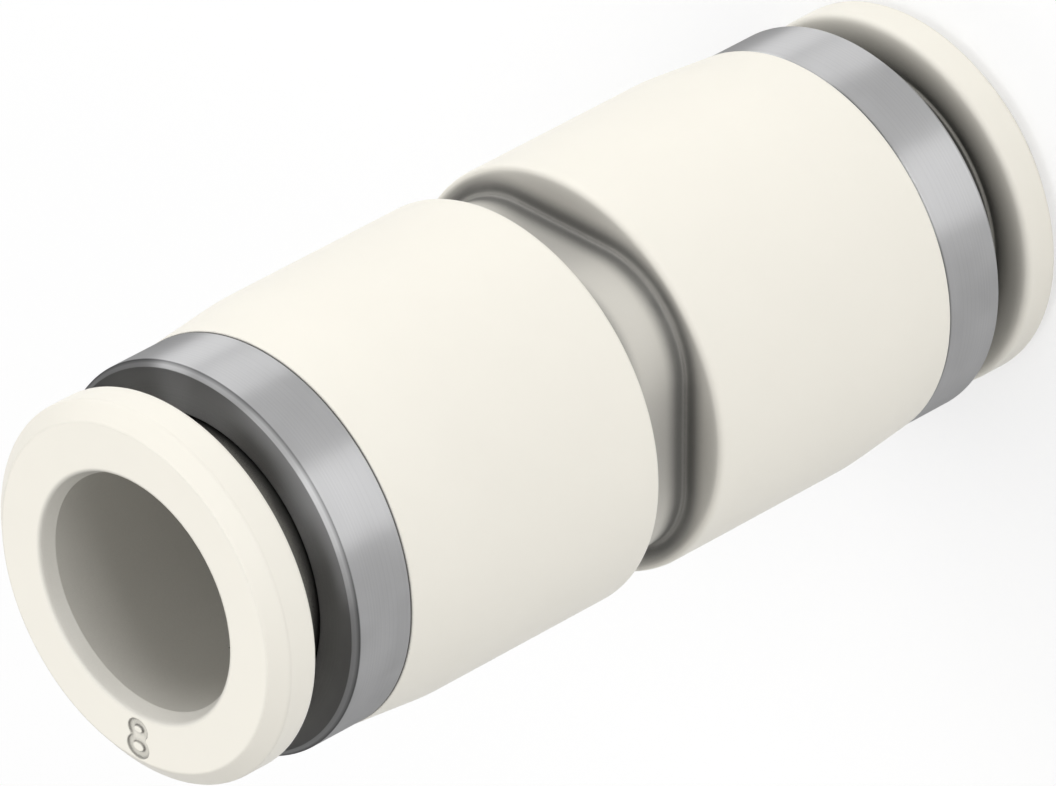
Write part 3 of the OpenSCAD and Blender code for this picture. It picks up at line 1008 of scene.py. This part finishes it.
class FITTING_OT_release_rings(bpy.types.Operator):
    """Make the two release rings with their slotted sleeves and the engraved tube size"""
    bl_idname = "fitting.make_release_rings"
    bl_label = "Make release rings"

    def execute(self, context):
        points, faces = ring_grid(context.scene.fitting_ring, context.scene.fitting_number)
        for end in ENDS:
            piece = new_piece(end + "_release_ring_moulding", at_end(points, end), faces,
                              finish_for("ring"))
            dress(piece, RING_FRAME[end], end + "_release_ring")
        return {'FINISHED'}


class FITTING_OT_claws(bpy.types.Operator):
    """Make the two claw rings of spring steel"""
    bl_idname = "fitting.make_claws"
    bl_label = "Make claw rings"

    def execute(self, context):
        points, faces = claw_grid(context.scene.fitting_claw)
        for end in ENDS:
            piece = new_piece(end + "_claw_ring", at_end(points, end), faces.tolist(),
                              finish_for("claw"))
            dress(piece, BODY_FRAME, end + "_claw")
        return {'FINISHED'}


class FITTING_OT_support_rings(bpy.types.Operator):
    """Make the two support rings between seal and claw"""
    bl_idname = "fitting.make_support_rings"
    bl_label = "Make support rings"

    def execute(self, context):
        scene = context.scene
        outline = support_outline(scene.fitting_inner, scene.fitting_body, scene.fitting_claw)
        turned_pair("_support", outline, INNER_COLUMNS, "support", "_support_ring")
        return {'FINISHED'}


class FITTING_OT_seals(bpy.types.Operator):
    """Make the two rubber seals with their lips"""
    bl_idname = "fitting.make_seals"
    bl_label = "Make seals"

    def execute(self, context):
        outline = seal_outline(context.scene.fitting_inner, context.scene.fitting_body)
        turned_pair("_lip_seal", outline, INNER_COLUMNS, "seal", "_seal")
        return {'FINISHED'}


class FITTING_OT_stage(bpy.types.Operator):
    """Set the studio: pale floor, soft lamps, plain surroundings and the camera"""
    bl_idname = "fitting.set_stage"
    bl_label = "Set stage"

    def execute(self, context):
        scene = context.scene
        size = scene.fitting_studio
        lay_floor(size)
        hang_lamps(size)
        set_camera(size)
        world = bpy.data.worlds.new("Plain_surroundings")
        world.use_nodes = True
        background = world.node_tree.nodes["Background"]
        background.inputs["Color"].default_value = (size.sky, size.sky, size.sky, 1.0)
        background.inputs["Strength"].default_value = 1.0
        scene.world = world
        scene.view_settings.view_transform = 'Standard'
        return {'FINISHED'}


def lay_floor(size):
    """Lays a flat round floor at z = 0: x = R s^3 cos(angle), y = R s^3 sin(angle), s to 1."""
    rings, columns = 24, 96
    share = np.linspace(0, 1, rings + 1)[1:, None]**3 * size.floor_r
    angles = np.arange(columns) * (2 * math.pi / columns)
    ring = np.stack([share * np.cos(angles), share * np.sin(angles), 0 * share * angles], -1)
    points = np.concatenate([np.zeros((1, 3)), ring.reshape(-1, 3)])
    quads = grid_quads(rings, columns)[:-1, :, ::-1].reshape(-1, 4) + 1
    first = np.arange(columns)
    centre = np.stack([np.zeros(columns, int), first + 1, (first + 1) % columns + 1], -1)
    floor = new_piece("Studio_floor", points, quads.tolist() + centre.tolist(), finish_for("floor"))
    floor.visible_shadow = False


def hang_lamps(size):
    """Hangs rectangular softboxes that face the fitting's middle.

    A lamp of power P at distance d lights a facing surface with P / (pi^2 d^2) of white.
    """
    middle = Vector((0.0, 0.0, MIDDLE))
    for name, (azimuth, elevation, half_width, half_height, share) in LAMPS.items():
        a, e = math.radians(azimuth), math.radians(elevation)
        away = Vector((math.cos(e) * math.cos(a), math.cos(e) * math.sin(a), math.sin(e)))
        light = bpy.data.lights.new(name, 'AREA')
        light.shape = 'RECTANGLE'
        light.size = 2 * size.lamp_distance * math.tan(math.radians(half_width))
        light.size_y = 2 * size.lamp_distance * math.tan(math.radians(half_height))
        light.energy = size.lamp_level * share * math.pi**2 * size.lamp_distance**2
        lamp = bpy.data.objects.new(name, light)
        lamp.location = middle + away * size.lamp_distance
        lamp.rotation_euler = away.to_track_quat('Z', 'Y').to_euler()
        lamp.visible_camera = False
        bpy.context.scene.collection.objects.link(lamp)


def set_camera(size):
    """Places the camera at its angles and distance from the aim, rolled about its sight."""
    cos_e = math.cos(size.elevation)
    back = Vector((cos_e * math.cos(size.azimuth), cos_e * math.sin(size.azimuth),
                   math.sin(size.elevation)))
    level_up = (Vector((0, 0, 1)) - back * back.z).normalized()
    level_right = level_up.cross(back)
    up = math.cos(size.roll) * level_up + math.sin(size.roll) * level_right
    right = up.cross(back)
    turn = Matrix((right, up, back)).transposed().to_4x4()
    data = bpy.data.cameras.new("Studio_camera")
    data.lens = size.lens
    data.sensor_width = 36.0
    data.clip_start = 0.01
    data.clip_end = 20.0
    camera = bpy.data.objects.new("Studio_camera", data)
    camera.matrix_world = Matrix.Translation(Vector(size.aim) + back * size.distance) @ turn
    bpy.context.scene.collection.objects.link(camera)
    bpy.context.scene.camera = camera


# Sidebar and registration

GROUPS = {
    "fitting_body": BodySizes,
    "fitting_cap": CapSizes,
    "fitting_ring": RingSizes,
    "fitting_number": NumberSizes,
    "fitting_claw": ClawSizes,
    "fitting_inner": InnerRingSizes,
    "fitting_finishes": Finishes,
    "fitting_studio": StudioSizes,
}
OPERATORS = (
    FITTING_OT_body,
    FITTING_OT_caps,
    FITTING_OT_release_rings,
    FITTING_OT_claws,
    FITTING_OT_support_rings,
    FITTING_OT_seals,
    FITTING_OT_stage,
)


class FITTING_PT_pieces(bpy.types.Panel):
    """Sizes, colours and makers of the fitting's pieces"""
    bl_idname = "FITTING_PT_pieces"
    bl_label = "Push-in fitting"
    bl_space_type = 'VIEW_3D'
    bl_region_type = 'UI'
    bl_category = "Fitting"

    def draw(self, context):
        for operator in OPERATORS:
            self.layout.operator(operator.bl_idname)
        for attribute, group in GROUPS.items():
            box = self.layout.box()
            box.label(text=group.__doc__.split(".")[0])
            for key in group.__annotations__:
                box.prop(getattr(context.scene, attribute), key)


def register():
    for made in (*GROUPS.values(), *OPERATORS, FITTING_PT_pieces):
        bpy.utils.register_class(made)
    for attribute, group in GROUPS.items():
        setattr(bpy.types.Scene, attribute, PointerProperty(type=group))


def unregister():
    for attribute in GROUPS:
        delattr(bpy.types.Scene, attribute)
    for made in (FITTING_PT_pieces, *reversed(OPERATORS), *reversed(GROUPS.values())):
        bpy.utils.unregister_class(made)


def main():
    register()
    bpy.ops.fitting.make_body()
    bpy.ops.fitting.make_caps()
    bpy.ops.fitting.make_release_rings()
    bpy.ops.fitting.make_claws()
    bpy.ops.fitting.make_support_rings()
    bpy.ops.fitting.make_seals()
    bpy.ops.fitting.set_stage()


if __name__ == "__main__":
    main()
